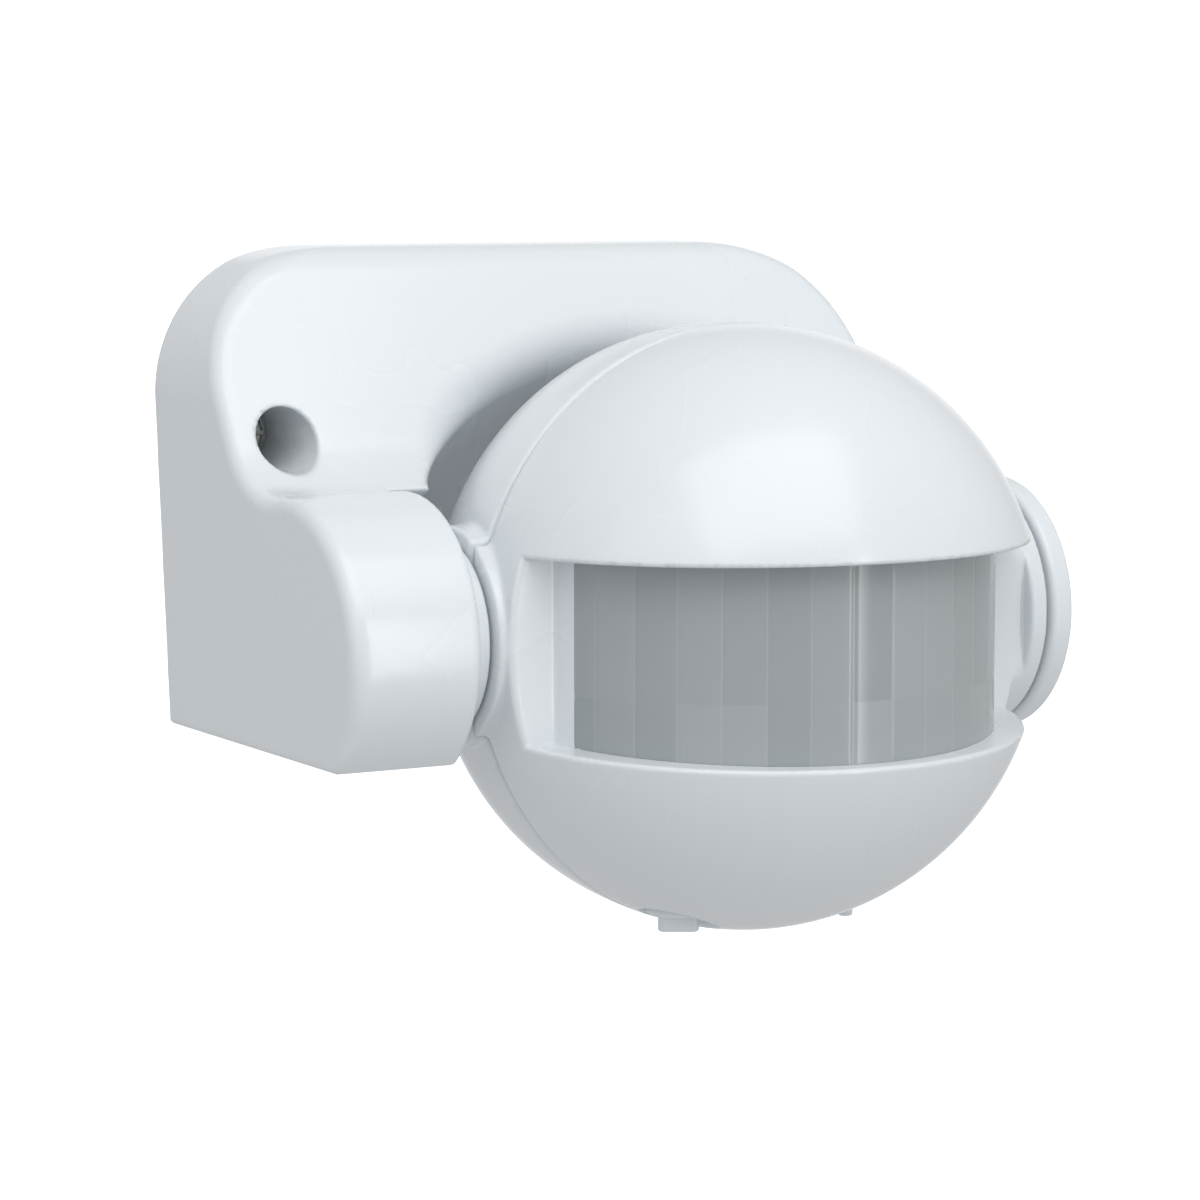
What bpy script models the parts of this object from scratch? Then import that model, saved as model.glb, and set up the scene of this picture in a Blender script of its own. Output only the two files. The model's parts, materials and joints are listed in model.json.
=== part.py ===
"""Wall-mounted 180 degree motion sensor: a fixed base, a head that tilts on a barrel, two setting knobs.

Lengths in this file are millimetres and are scaled to metres when a mesh is made. The wall is the plane
y = 0 and the sensor looks along -Y, with +Z up. The origin is the middle of the base's wall face. Pieces
of the head are modelled about the tilt axis, at the middle of the head's width, and hang from an empty
that stands on that axis.
"""

import math

import bmesh
import bpy
from mathutils import Matrix, Vector

MM = 0.001
GAP = 0.3  # between pieces that touch

# Base, seen from the front
BASE_WIDTH = 86.4
BASE_HEIGHT = 55.0
BASE_CORNER = 16.7
BASE_DRAFT = 0.037  # how much each side leans in, per mm of height, below the corners
BASE_WALL = 2.2
BASE_TOP = BASE_HEIGHT / 2
BASE_BOTTOM = -BASE_HEIGHT / 2

# Base, seen from the side
TOP_ROUND = 6.0  # radius of the brow between the top and the slope
SLOPE_ANGLE = math.radians(63.8)  # of the sloping front above the horizontal
SLOPE_FOOT = (-20.35, 6.9)  # a point of the slope, just above the fillet
FILLET = 10.6  # between the slope and the barrel
BARREL_RADIUS = 16.2
BARREL_END = -27.1  # x of the barrel's inner face

# Tilt axis and head
AXIS_Y = -34.15
AXIS_Z = -14.8
HEAD_X = 11.4
HEAD_HALF_WIDTH = 34.2  # half axes of the rounded body
HEAD_HALF_HEIGHT = 34.3
HEAD_DROP = 0.3  # middle of the head below the tilt axis
SEAM_Y = -5.5  # parting plane between the two shells, from the tilt axis
DOME_DEPTH = 33.9
DOME_FULLNESS = 2.08  # exponent of the dome's outline; 2 is an ellipse
REAR_DEPTH = 29.0
REAR_FULLNESS = 2.6
BOSS_LEFT = -34.4  # round bosses on the tilt axis stand out of both ends of the head
BOSS_RIGHT = 36.1
LEFT_BOSS_RADIUS = 12.2
RIGHT_BOSS_RADIUS = 14.6
HEAD_WALL = 2.2
SEAM_GAP = 0.3

# Window in the head
VISOR_Z = -5.28 - AXIS_Z
LEDGE_Z = -27.2 - AXIS_Z  # at the front of the dome
LEDGE_RISE = 0.06  # per mm towards the back
LENS_RADIUS = 28.8
LENS_FRONT_Y = -68.2 - AXIS_Y
LENS_THICKNESS = 1.0
LENS_HALF_CHORD = 27.0
CHEEK_Y = -47.0 - AXIS_Y  # flats at both ends of the lens
WINDOW_WALL = 1.8
WINDOW_RIGHT = 33.8  # where the right cheek stops against the boss
DOME_FRONT_Y = SEAM_Y - DOME_DEPTH

# Dish in the base that the head turns in
DISH_HALF_WIDTH = 39.8
DISH_RADIUS = 36.3
DISH_NECK = 16.8
DISH_FLOOR = -5.3

# Pivot
HUB_RADIUS = 7.4
HUB_BORE = 5.0
HUB_HOLE = 7.7
HUB_FLANGE = 10.8
HUB_SPIGOT = 7.1
SPIGOT_FLANGE = 9.3  # snaps behind the head's wall
SPIGOT_DEPTH = 1.7
END_CAP_RADIUS = 15.0
END_CAP_THICKNESS = 2.9

# Fixings
ACCESS_X = -35.9
ACCESS_Z = 6.4
ACCESS_RADIUS = 3.9
ACCESS_FLOOR = -6.2  # where the cover screw's head rests
PLATE_THICKNESS = 2.6
PLATE_FRONT = -PLATE_THICKNESS
HOOKS_Z = (("upper", 6.0), ("lower", -18.0))  # on the right edge of the back plate
POSTS = ((0.0, 24.4), (-18.4, -17.6), (18.4, -17.6))  # screw posts of the head's shells

# Wiring in the base
ENTRY_X = 24.0
ENTRY_Z = 17.0
GROMMET_BORE = 3.4
BLOCK_X = (-29.0, -5.0)
BLOCK_Y = (-10.8, PLATE_FRONT - GAP)
BLOCK_Z = (13.5, 20.5)
TERMINALS = 3
LEAD_RADIUS = 1.9
LEAD_MEETING = -33.0  # x on the tilt axis where the base's lead meets the head's

# Circuit board in the head
BOARD_FRONT = -39.9 - AXIS_Y
BOARD_THICKNESS = 1.6
BOARD_HALF_WIDTH = 22.0
BOARD_POSTS = ((-18.5, 14.5), (18.5, 14.5))
POT_HALF = 4.4
POT_Z = (-24.8, -18.6)

# Setting knobs, from the middle of the head
KNOB_X = 11.0
KNOB_Y = -44.6 - AXIS_Y
KNOB_RADIUS = 3.6
KNOB_TIP = -48.3 - AXIS_Z
KNOB_DISC = -46.2 - AXIS_Z  # underside of the disc that carries the grip
GRIP_LENGTH = 4.6
GRIP_WIDTH = 1.7
TIME_KNOB_TURN = math.radians(-29)
LUX_KNOB_TURN = math.radians(61)

COARSE = 40  # sides of a large round
SHELL_SOLVER = "MANIFOLD"  # the exact solver leaves open edges on the thin shells


# ---------------------------------------------------------------- scene and materials


def clear_scene():
    for obj in list(bpy.data.objects):
        bpy.data.objects.remove(obj, do_unlink=True)


def material(name, colour, roughness, metallic=0.0, alpha=1.0):
    made = bpy.data.materials.get(name)
    if made:
        return made
    made = bpy.data.materials.new(name)
    made.use_nodes = True
    shader = made.node_tree.nodes["Principled BSDF"]
    shader.inputs["Base Color"].default_value = (*colour, 1.0)
    shader.inputs["Roughness"].default_value = roughness
    shader.inputs["Metallic"].default_value = metallic
    shader.inputs["Alpha"].default_value = alpha
    return made


def white_housing():
    return material("white_housing", (0.80, 0.81, 0.84), 0.32)


def milky_lens():
    return material("milky_lens", (0.52, 0.55, 0.57), 0.35)


def black_rubber():
    return material("black_rubber", (0.03, 0.03, 0.03), 0.75)


def zinc_steel():
    return material("zinc_steel", (0.62, 0.62, 0.60), 0.35, 1.0)


def nylon():
    return material("white_nylon", (0.72, 0.72, 0.70), 0.5)


def green_board():
    return material("green_board", (0.03, 0.20, 0.07), 0.45)


def grey_sheath():
    return material("grey_sheath", (0.35, 0.35, 0.36), 0.55)


# ---------------------------------------------------------------- mesh tools


def add_object(name, mesh, colour, parent=None, place=(0, 0, 0)):
    obj = bpy.data.objects.new(name, mesh)
    bpy.context.collection.objects.link(obj)
    obj.location = Vector(place) * MM
    obj.parent = parent
    if colour:
        mesh.materials.append(colour)
    return obj


def mesh_from(name, points, faces):
    """A mesh of points in millimetres, its faces turned outwards, smooth but for its sharp edges."""
    shape = bmesh.new()
    corners = [shape.verts.new(Vector(point) * MM) for point in points]
    for face in faces:
        shape.faces.new([corners[i] for i in face])
    bmesh.ops.recalc_face_normals(shape, faces=shape.faces)
    mesh = bpy.data.meshes.new(name)
    shape.to_mesh(mesh)
    shape.free()
    mesh.shade_smooth()
    mesh.set_sharp_from_angle(angle=math.radians(35))
    return mesh


def on_axis(axis, along, across, up):
    """The point with `along` on the named axis; the other two follow it in the order X, Y, Z."""
    if axis == "X":
        return (along, across, up)
    if axis == "Y":
        return (across, along, up)
    return (across, up, along)


def prism_mesh(name, outline, low, high, axis):
    count = len(outline)
    points = [on_axis(axis, low, a, b) for a, b in outline]
    points += [on_axis(axis, high, a, b) for a, b in outline]
    faces = [tuple(range(count)), tuple(range(count, 2 * count))]
    for i in range(count):
        j = (i + 1) % count
        faces.append((i, j, count + j, count + i))
    return mesh_from(name, points, faces)


def block_mesh(name, low, high):
    outline = [(low[0], low[1]), (high[0], low[1]), (high[0], high[1]), (low[0], high[1])]
    return prism_mesh(name, outline, low[2], high[2], "Z")


def lathe_mesh(name, profile, axis, sides, centre=(0, 0)):
    """Turns (radius, along) points about an axis; a profile that has no zero radius closes as a ring."""
    points = []
    rings = []
    for radius, along in profile:
        start = len(points)
        if radius == 0:
            points.append(on_axis(axis, along, *centre))
            rings.append([start] * sides)
            continue
        for i in range(sides):
            turn = math.tau * i / sides
            across = centre[0] + radius * math.cos(turn)
            up = centre[1] + radius * math.sin(turn)
            points.append(on_axis(axis, along, across, up))
        rings.append(list(range(start, start + sides)))
    if profile[0][0] != 0:
        rings.append(rings[0])
    faces = []
    for lower, upper in zip(rings, rings[1:]):
        for i in range(sides):
            j = (i + 1) % sides
            corners = list(dict.fromkeys((lower[i], lower[j], upper[j], upper[i])))
            if len(corners) > 2:
                faces.append(corners)
    return mesh_from(name, points, faces)


def rod_mesh(name, radius, low, high, axis, centre=(0, 0), sides=16):
    return lathe_mesh(name, [(0, low), (radius, low), (radius, high), (0, high)], axis, sides, centre)


def arc(centre, radius, start, end, steps):
    """Points on a circle from one angle to another, in degrees, both ends included."""
    turns = [math.radians(start + (end - start) * i / steps) for i in range(steps + 1)]
    return [(centre[0] + radius * math.cos(t), centre[1] + radius * math.sin(t)) for t in turns]


def cutter(name, mesh, parent=None):
    obj = add_object(name, mesh, None, parent)
    obj.hide_render = True
    obj.display_type = "WIRE"
    return obj


def combine(obj, other, operation, solver="EXACT"):
    change = obj.modifiers.new(other.name, "BOOLEAN")
    change.operation = operation
    change.solver = solver
    change.object = other
    return obj


def cut(obj, *others, solver="EXACT"):
    for other in others:
        combine(obj, other, "DIFFERENCE", solver)
    return obj


# ---------------------------------------------------------------- base housing


def base_outline(inset):
    """The base from the front: straight drafted sides and a flat top with two large corners."""
    half = BASE_WIDTH / 2 - inset
    top = BASE_TOP - inset
    bottom = BASE_BOTTOM + inset
    radius = BASE_CORNER - inset
    corner_z = top - radius
    foot = half - BASE_DRAFT * (corner_z - bottom)
    right = arc((half - radius, corner_z), radius, 0, 90, 8)
    left = arc((radius - half, corner_z), radius, 90, 180, 8)
    return [(-foot, bottom), (foot, bottom)] + right + left


def side_profile(inset, back):
    """The base from the side, as (y, z): top, rounded brow, slope, fillet, barrel and flat bottom."""
    slope = Vector((-math.cos(SLOPE_ANGLE), -math.sin(SLOPE_ANGLE)))
    inward = Vector((math.sin(SLOPE_ANGLE), -math.cos(SLOPE_ANGLE)))
    foot = Vector(SLOPE_FOOT) + inward * inset
    top = BASE_TOP - inset
    # The brow touches the top and the slope; the fillet touches the slope and the barrel.
    brow = TOP_ROUND - inset / 2
    centre = foot + inward * brow
    brow_centre = centre + slope * ((top - brow - centre[1]) / slope[1])
    slope_face = math.degrees(math.atan2(-inward[1], -inward[0]))
    points = [(back, top)] + arc(brow_centre, brow, 90, slope_face, 5)

    axis = Vector((AXIS_Y, AXIS_Z))
    barrel = BARREL_RADIUS - inset
    fillet = FILLET + inset
    line = foot - inward * fillet
    reach = fillet + barrel
    offset = line - axis
    along = -offset.dot(slope) - math.sqrt(offset.dot(slope) ** 2 - offset.length_squared + reach**2)
    fillet_centre = line + slope * along
    touch = axis - fillet_centre
    start = math.degrees(math.atan2(inward[1], inward[0]))
    end = math.degrees(math.atan2(touch[1], touch[0]))
    points += arc(fillet_centre, fillet, start, end, 5)

    bottom = BASE_BOTTOM + inset
    barrel_start = end + 180
    barrel_end = 180 + math.degrees(math.asin((AXIS_Z - bottom) / barrel))
    points += arc(axis, barrel, barrel_start, barrel_end, 14)[1:]
    points.append((back, bottom))
    return points


def base_body(name, inset, back, as_cutter):
    """The base's outer shape, or with an inset its hollow: the side profile trimmed by the outline."""
    half = BASE_WIDTH
    mesh = prism_mesh(name, side_profile(inset, back), -half, half, "X")
    outline = prism_mesh(name + "_outline", base_outline(inset), -80, 20, "Y")
    body = cutter(name, mesh) if as_cutter else add_object(name, mesh, white_housing())
    return combine(body, cutter(name + "_trim", outline), "INTERSECT")


def dish_mesh(name, grown):
    """The hollow that the head turns in: an ellipse turned about the tilt axis, and the barrel's end."""
    half = DISH_HALF_WIDTH + grown
    radius = DISH_RADIUS + grown
    neck = DISH_NECK + grown
    start = BARREL_END - grown
    neck_x = HEAD_X - half * math.sqrt(1 - (neck / radius) ** 2)
    first = math.degrees(math.acos((neck_x - HEAD_X) / half))
    profile = [(0, start), (neck, start)]
    for i in range(13):
        turn = math.radians(first * (1 - i / 12))
        profile.append((radius * math.sin(turn), HEAD_X + half * math.cos(turn)))
    profile[-1] = (0, profile[-1][1])
    return lathe_mesh(name, profile, "X", COARSE, (AXIS_Y, AXIS_Z))


def dish(name, grown):
    body = cutter(name, dish_mesh(name, grown))
    floor = DISH_FLOOR + grown
    front = cutter(name + "_front", block_mesh(name, (-100, -100, -80), (100, floor, 80)))
    return combine(body, front, "INTERSECT")


def base_housing():
    housing = base_body("base_housing", 0.0, 0.0, False)
    hollow = base_body("base_hollow", BASE_WALL, 5.0, True)
    cut(hollow, dish("dish_skin", BASE_WALL), solver=SHELL_SOLVER)
    centre = (ACCESS_X, ACCESS_Z)
    tube = rod_mesh("access_tube", ACCESS_RADIUS + 1.6, -40, PLATE_FRONT - GAP, "Y", centre, 24)
    cut(hollow, cutter("access_tube", tube), solver=SHELL_SOLVER)
    cut(housing, dish("dish", 0.0), hollow, solver=SHELL_SOLVER)
    access = [(0, -60), (ACCESS_RADIUS, -60), (ACCESS_RADIUS, ACCESS_FLOOR), (1.9, ACCESS_FLOOR)]
    access = lathe_mesh("access_hole", access + [(1.9, 5), (0, 5)], "Y", 24, centre)
    cut(housing, cutter("access_hole", access), solver=SHELL_SOLVER)
    hub_hole = rod_mesh("hub_hole", HUB_HOLE, BARREL_END - 5, BARREL_END + 5, "X", (AXIS_Y, AXIS_Z), 32)
    cut(housing, cutter("hub_hole", hub_hole), solver=SHELL_SOLVER)
    for name, z in HOOKS_Z:
        high = (hook_reach(z) + GAP, -0.6, z + 4.4)
        notch = block_mesh(name + "_notch", (30, PLATE_FRONT - 0.2, z - 4.4), high)
        cut(housing, cutter(name + "_notch", notch), solver=SHELL_SOLVER)
    return housing


# ---------------------------------------------------------------- back plate and wiring


def hook_reach(z):
    """x of the tip of a hook of the back plate, one millimetre inside the housing's right wall."""
    lean = BASE_DRAFT * max(0.0, BASE_TOP - BASE_CORNER - z)
    return BASE_WIDTH / 2 - BASE_WALL - lean + 0.7


def back_plate():
    outline = base_outline(BASE_WALL + GAP)
    mesh = prism_mesh("back_plate", outline, PLATE_FRONT, 0, "Y")
    plate = add_object("back_plate", mesh, white_housing())
    for name, z in HOOKS_Z:
        hook = block_mesh(name + "_hook", (30, PLATE_FRONT + 0.2, z - 4), (hook_reach(z), -1.0, z + 4))
        combine(plate, cutter(name + "_hook", hook), "UNION")
    screw = rod_mesh("plate_screw_hole", 1.9, -9, 5, "Y", (ACCESS_X, ACCESS_Z), 16)
    entry = rod_mesh("cable_entry", 5.0, -9, 5, "Y", (ENTRY_X, ENTRY_Z), 24)
    cut(plate, cutter("plate_screw_hole", screw), cutter("cable_entry", entry))
    cut(plate, plate_ring("seal_groove", 0.85, -1.05, 5, True))
    for name, x, z in (("left_slot", -24.0, -10.0), ("right_slot", 26.0, -10.0)):
        ends = arc((x + 3, z), 2.3, -90, 90, 6) + arc((x - 3, z), 2.3, 90, 270, 6)
        cut(plate, cutter(name, prism_mesh(name, ends, -9, 5, "Y")))
    return plate


def plate_ring(name, spread, front, back, as_cutter):
    """A flat ring just inside the plate's edge, spread wider on both sides when it cuts the groove."""
    middle = BASE_WALL + GAP + 1.5
    outer = prism_mesh(name, base_outline(middle - spread), front, back, "Y")
    ring = cutter(name, outer) if as_cutter else add_object(name, outer, black_rubber())
    inner = prism_mesh(name + "_middle", base_outline(middle + spread), -9, 5, "Y")
    return cut(ring, cutter(name + "_middle", inner))


def wall_seal():
    return plate_ring("wall_seal", 0.55, -0.75, -0.1, False)


def terminal_x(index):
    return BLOCK_X[0] + (BLOCK_X[1] - BLOCK_X[0]) * (2 * index + 1) / (2 * TERMINALS)


def terminal_block():
    low, high = zip(BLOCK_X, BLOCK_Y, BLOCK_Z)
    black = material("terminal_black", (0.04, 0.04, 0.045), 0.5)
    block = add_object("terminal_block", block_mesh("terminal_block", low, high), black)
    middle = (BLOCK_Z[0] + BLOCK_Z[1]) / 2
    for i in range(TERMINALS):
        x = terminal_x(i)
        well = rod_mesh("screw_well", 2.3, BLOCK_Y[0] - 2, -5.0, "Y", (x, middle), 16)
        mouth = rod_mesh("wire_mouth", 1.6, BLOCK_Z[0] - 2, middle - 0.2, "Z", (x, -6.2), 12)
        cut(block, cutter(f"screw_well_{i}", well), cutter(f"wire_mouth_{i}", mouth))
    return block


def screw(name, radius, head_radius, head_height, length, place, direction, parent=None):
    """A pan-head screw with a slot, its head's outer face at `place`, its shank pointing along direction."""
    profile = [(0, 0), (head_radius * 0.75, 0), (head_radius, head_height * 0.45)]
    profile += [(head_radius, head_height), (radius, head_height), (radius, length - radius)]
    profile += [(radius * 0.3, length), (0, length)]
    mesh = lathe_mesh(name, profile, "Z", 10)
    obj = add_object(name, mesh, zinc_steel(), parent, place)
    reach = head_radius * 2
    slot = block_mesh(name + "_slot", (-reach, -0.25, -1), (reach, 0.25, head_height * 0.5))
    tool = cutter(name + "_slot", slot, parent)
    turn = Vector((0, 0, 1)).rotation_difference(Vector(direction))
    for item in (obj, tool):
        item.rotation_mode = "QUATERNION"
        item.rotation_quaternion = turn
        item.location = Vector(place) * MM
    return cut(obj, tool)


def terminal_screws():
    middle = (BLOCK_Z[0] + BLOCK_Z[1]) / 2
    for i in range(TERMINALS):
        place = (terminal_x(i), -9.4, middle)
        screw(f"terminal_screw_{i + 1}", 1.2, 1.9, 1.3, 2.6, place, (0, 1, 0))


def cable_grommet():
    back = -0.2
    front = PLATE_FRONT - GAP - 1.3
    profile = [(GROMMET_BORE, back), (4.6, back), (4.6, PLATE_FRONT - GAP), (6.6, PLATE_FRONT - GAP)]
    profile += [(5.8, front), (GROMMET_BORE + 0.8, front), (GROMMET_BORE, front + 0.8)]
    mesh = lathe_mesh("cable_grommet", profile, "Y", 20, (ENTRY_X, ENTRY_Z))
    return add_object("cable_grommet", mesh, black_rubber())


def wire(name, points, radius, colour, parent=None):
    """A wire along a smooth curve through a few chosen points."""
    anchors = [Vector(p) for p in points]
    padded = [2 * anchors[0] - anchors[1]] + anchors + [2 * anchors[-1] - anchors[-2]]
    path = []
    steps = 3
    for before, a, b, after in zip(padded, padded[1:], padded[2:], padded[3:]):
        linear = b - before
        square = 2 * before - 5 * a + 4 * b - after
        cubic = 3 * a - before - 3 * b + after
        for i in range(steps):
            t = i / steps
            path.append(a + 0.5 * (linear * t + square * t**2 + cubic * t**3))
    path.append(anchors[-1])
    curve = bpy.data.curves.new(name, "CURVE")
    curve.dimensions = "3D"
    curve.bevel_depth = radius * MM
    curve.bevel_resolution = 2
    curve.use_fill_caps = True
    spline = curve.splines.new("POLY")
    spline.points.add(len(path) - 1)
    for point, place in zip(spline.points, path):
        point.co = (*(place * MM), 1)
    return add_object(name, curve, colour, parent)


def base_wiring():
    route = [(-25.0, -11.5, 8.0), (-27.6, -12.5, 2.5), (-31.5, -15.5, -5.0), (-36.2, -22.5, -11.0)]
    route += [(-37.6, -30.0, -14.0), (-36.2, AXIS_Y, AXIS_Z), (LEAD_MEETING - GAP, AXIS_Y, AXIS_Z)]
    wire("base_lead", route, LEAD_RADIUS, grey_sheath())
    brown, blue, red = (0.22, 0.07, 0.02), (0.02, 0.10, 0.45), (0.5, 0.02, 0.02)
    for i, (name, colour) in enumerate((("core_live", brown), ("core_neutral", blue), ("core_load", red))):
        x = terminal_x(i)
        begin = (-25.0 + 1.2 * (i - 1), -11.5 - 1.4 * (i - 1), 9.5)
        halfway = ((begin[0] + x) / 2, (begin[1] - 6.2) / 2, 10.3)
        route = [begin, halfway, (x, -6.2, 11.6), (x, -6.2, 14.6)]
        wire(name, route, 0.7, material(name, colour, 0.45))


# ---------------------------------------------------------------- head


def ring_scale(share, exponent):
    """Width of a rounded end at a share of its depth, from 1 at its mouth to 0 at its tip."""
    return (1 - share**exponent) ** (1 / exponent)


def head_mesh(name, inset, rings=9):
    """The head's rounded body about Y: a dome in front and a fuller, shorter rear."""
    half_x = HEAD_HALF_WIDTH - inset
    half_z = HEAD_HALF_HEIGHT - inset
    turns = [math.sin(math.pi / 2 * (i + 1) / rings) for i in range(rings)]
    stations = [(SEAM_Y + (REAR_DEPTH - inset) * t, ring_scale(t, REAR_FULLNESS)) for t in reversed(turns)]
    stations.append((SEAM_Y, 1.0))
    stations += [(SEAM_Y - (DOME_DEPTH - inset) * t, ring_scale(t, DOME_FULLNESS)) for t in turns]
    points = []
    loops = []
    for y, scale in stations:
        start = len(points)
        if scale < 1e-6:
            points.append((0, y, -HEAD_DROP))
            loops.append([start] * COARSE)
            continue
        for i in range(COARSE):
            turn = math.tau * (i + 0.5) / COARSE
            x = half_x * scale * math.cos(turn)
            points.append((x, y, half_z * scale * math.sin(turn) - HEAD_DROP))
        loops.append(list(range(start, start + COARSE)))
    faces = []
    for lower, upper in zip(loops, loops[1:]):
        for i in range(COARSE):
            j = (i + 1) % COARSE
            corners = list(dict.fromkeys((lower[i], lower[j], upper[j], upper[i])))
            if len(corners) > 2:
                faces.append(corners)
    return mesh_from(name, points, faces)


def head_body(name, inset, parent, as_cutter):
    """The rounded body joined to the bosses at its two ends, or with an inset its hollow."""
    mesh = head_mesh(name, inset)
    body = cutter(name, mesh, parent) if as_cutter else add_object(name, mesh, white_housing(), parent)
    left, right = LEFT_BOSS_RADIUS - inset, RIGHT_BOSS_RADIUS - inset
    profile = [(0, BOSS_LEFT + inset), (left, BOSS_LEFT + inset), (left, 0), (right, 0)]
    profile += [(right, BOSS_RIGHT - inset), (0, BOSS_RIGHT - inset)]
    bosses = cutter(name + "_bosses", lathe_mesh(name + "_bosses", profile, "X", COARSE), parent)
    return combine(body, bosses, "UNION", SHELL_SOLVER)


def ledge_z(y):
    return LEDGE_Z + LEDGE_RISE * (y - DOME_FRONT_Y)


def window_footprint(shrink):
    """What lies in front of the lens and the cheeks, from above; shrink moves its back and right outwards."""
    radius = LENS_RADIUS - shrink
    centre_y = LENS_FRONT_Y + LENS_RADIUS
    cheek = CHEEK_Y + shrink
    edge = math.degrees(math.asin((centre_y - cheek) / radius))
    lens = arc((0, centre_y), radius, 180 + edge, 360 - edge, 18)
    right = WINDOW_RIGHT + shrink
    return [(-60, -60), (-60, cheek)] + lens + [(right, cheek), (right, -60)]


def sloped_mesh(name, outline, below, above):
    """A prism that stands on the sloping ledge and reaches the visor, moved by `below` and `above`."""
    count = len(outline)
    points = [(x, y, ledge_z(y) + below) for x, y in outline]
    points += [(x, y, VISOR_Z + above) for x, y in outline]
    faces = [tuple(range(count)), tuple(range(count, 2 * count))]
    for i in range(count):
        j = (i + 1) % count
        faces.append((i, j, count + j, count + i))
    return mesh_from(name, points, faces)


def window_block(name, shrink, parent):
    """The window's space between the ledge and the visor, or with shrink the walls around it too."""
    return cutter(name, sloped_mesh(name, window_footprint(shrink), -shrink, shrink), parent)


def lens_sector(outer, inner, half_chord):
    """A curved strip from above, with its ends cut at the same distance either side of the middle."""
    centre = (0, LENS_FRONT_Y + LENS_RADIUS)
    out_edge = math.degrees(math.acos(half_chord / outer))
    in_edge = math.degrees(math.acos(half_chord / inner)) if half_chord < inner else 0
    front = arc(centre, outer, 180 + out_edge, 360 - out_edge, 18)
    return front + arc(centre, inner, 360 - in_edge, 180 + in_edge, 18)


def head_front_shell(parent):
    shell = head_body("head_front_shell", 0.0, parent, False)
    back = block_mesh("front_shell_back", (-90, SEAM_Y - SEAM_GAP / 2, -90), (90, 90, 90))
    rear = cutter("front_shell_back", back, parent)
    hollow = head_body("front_hollow", HEAD_WALL, parent, True)
    cut(hollow, window_block("window_walls", WINDOW_WALL, parent), solver=SHELL_SOLVER)
    for i, (x, z) in enumerate(POSTS):
        post = rod_mesh("front_post", 3.0, -60, 60, "Y", (x, z), 12)
        cut(hollow, cutter(f"front_post_{i}", post, parent), solver=SHELL_SOLVER)
    for i, (x, z) in enumerate(BOARD_POSTS):
        post = rod_mesh("board_post", 2.4, -60, BOARD_FRONT - GAP, "Y", (x, z), 10)
        cut(hollow, cutter(f"board_post_{i}", post, parent), solver=SHELL_SOLVER)
    cut(shell, rear, hollow, window_block("window_space", 0.0, parent), solver=SHELL_SOLVER)
    behind = CHEEK_Y + 6
    side = LENS_HALF_CHORD
    opening = [(-side, -60), (-side, behind), (side, behind), (side, -60)]
    opening = cutter("lens_opening", sloped_mesh("lens_opening", opening, 0, 0), parent)
    cut(shell, opening, solver=SHELL_SOLVER)
    for i, (x, z) in enumerate(POSTS):
        hole = rod_mesh("post_hole", 1.3, SEAM_Y - 12, 60, "Y", (x, z), 10)
        cut(shell, cutter(f"front_post_hole_{i}", hole, parent), solver=SHELL_SOLVER)
    for i, (x, z) in enumerate(BOARD_POSTS):
        hole = rod_mesh("board_hole", 1.1, BOARD_FRONT - 7, 60, "Y", (x, z), 10)
        cut(shell, cutter(f"board_post_hole_{i}", hole, parent), solver=SHELL_SOLVER)
    for i, side in enumerate((-1, 1)):
        well = rod_mesh("knob_well", KNOB_RADIUS + 0.5, -60, -20, "Z", (side * KNOB_X, KNOB_Y), 20)
        cut(shell, cutter(f"knob_well_{i}", well, parent), solver=SHELL_SOLVER)
        spigot = rod_mesh("end_hole", HUB_SPIGOT + 0.35, side * 25 - 20, side * 25 + 20, "X", (0, 0), 32)
        cut(shell, cutter(f"front_end_hole_{i}", spigot, parent), solver=SHELL_SOLVER)
    return shell


def head_rear_shell(parent):
    shell = head_body("head_rear_shell", 0.0, parent, False)
    front = block_mesh("rear_shell_front", (-90, -90, -90), (90, SEAM_Y + SEAM_GAP / 2, 90))
    front = cutter("rear_shell_front", front, parent)
    hollow = head_body("rear_hollow", HEAD_WALL, parent, True)
    for i, (x, z) in enumerate(POSTS):
        post = rod_mesh("rear_post", 3.6, SEAM_Y + SEAM_GAP, 60, "Y", (x, z), 14)
        cut(hollow, cutter(f"rear_post_{i}", post, parent), solver=SHELL_SOLVER)
    cut(shell, front, hollow, solver=SHELL_SOLVER)
    for i, (x, z) in enumerate(POSTS):
        bore = [(0, -30), (1.3, -30), (1.3, 1.0), (2.9, 1.0), (2.9, 60), (0, 60)]
        bore = cutter(f"rear_post_bore_{i}", lathe_mesh("bore", bore, "Y", 14, (x, z)), parent)
        cut(shell, bore, solver=SHELL_SOLVER)
    for i, side in enumerate((-1, 1)):
        spigot = rod_mesh("end_hole", HUB_SPIGOT + 0.35, side * 25 - 20, side * 25 + 20, "X", (0, 0), 32)
        cut(shell, cutter(f"rear_end_hole_{i}", spigot, parent), solver=SHELL_SOLVER)
    return shell


def gasket_outline(inset):
    """The head's outline at the parting plane, moved in and kept clear of the spigots at both ends."""
    half_x = HEAD_HALF_WIDTH - HEAD_WALL - inset
    half_z = HEAD_HALF_HEIGHT - HEAD_WALL - inset
    limit = -BOSS_LEFT - HEAD_WALL - SPIGOT_DEPTH - inset
    outline = []
    for i in range(COARSE):
        turn = math.tau * i / COARSE
        x = max(-limit, min(limit, half_x * math.cos(turn)))
        outline.append((x, half_z * math.sin(turn) - HEAD_DROP))
    return outline


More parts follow.
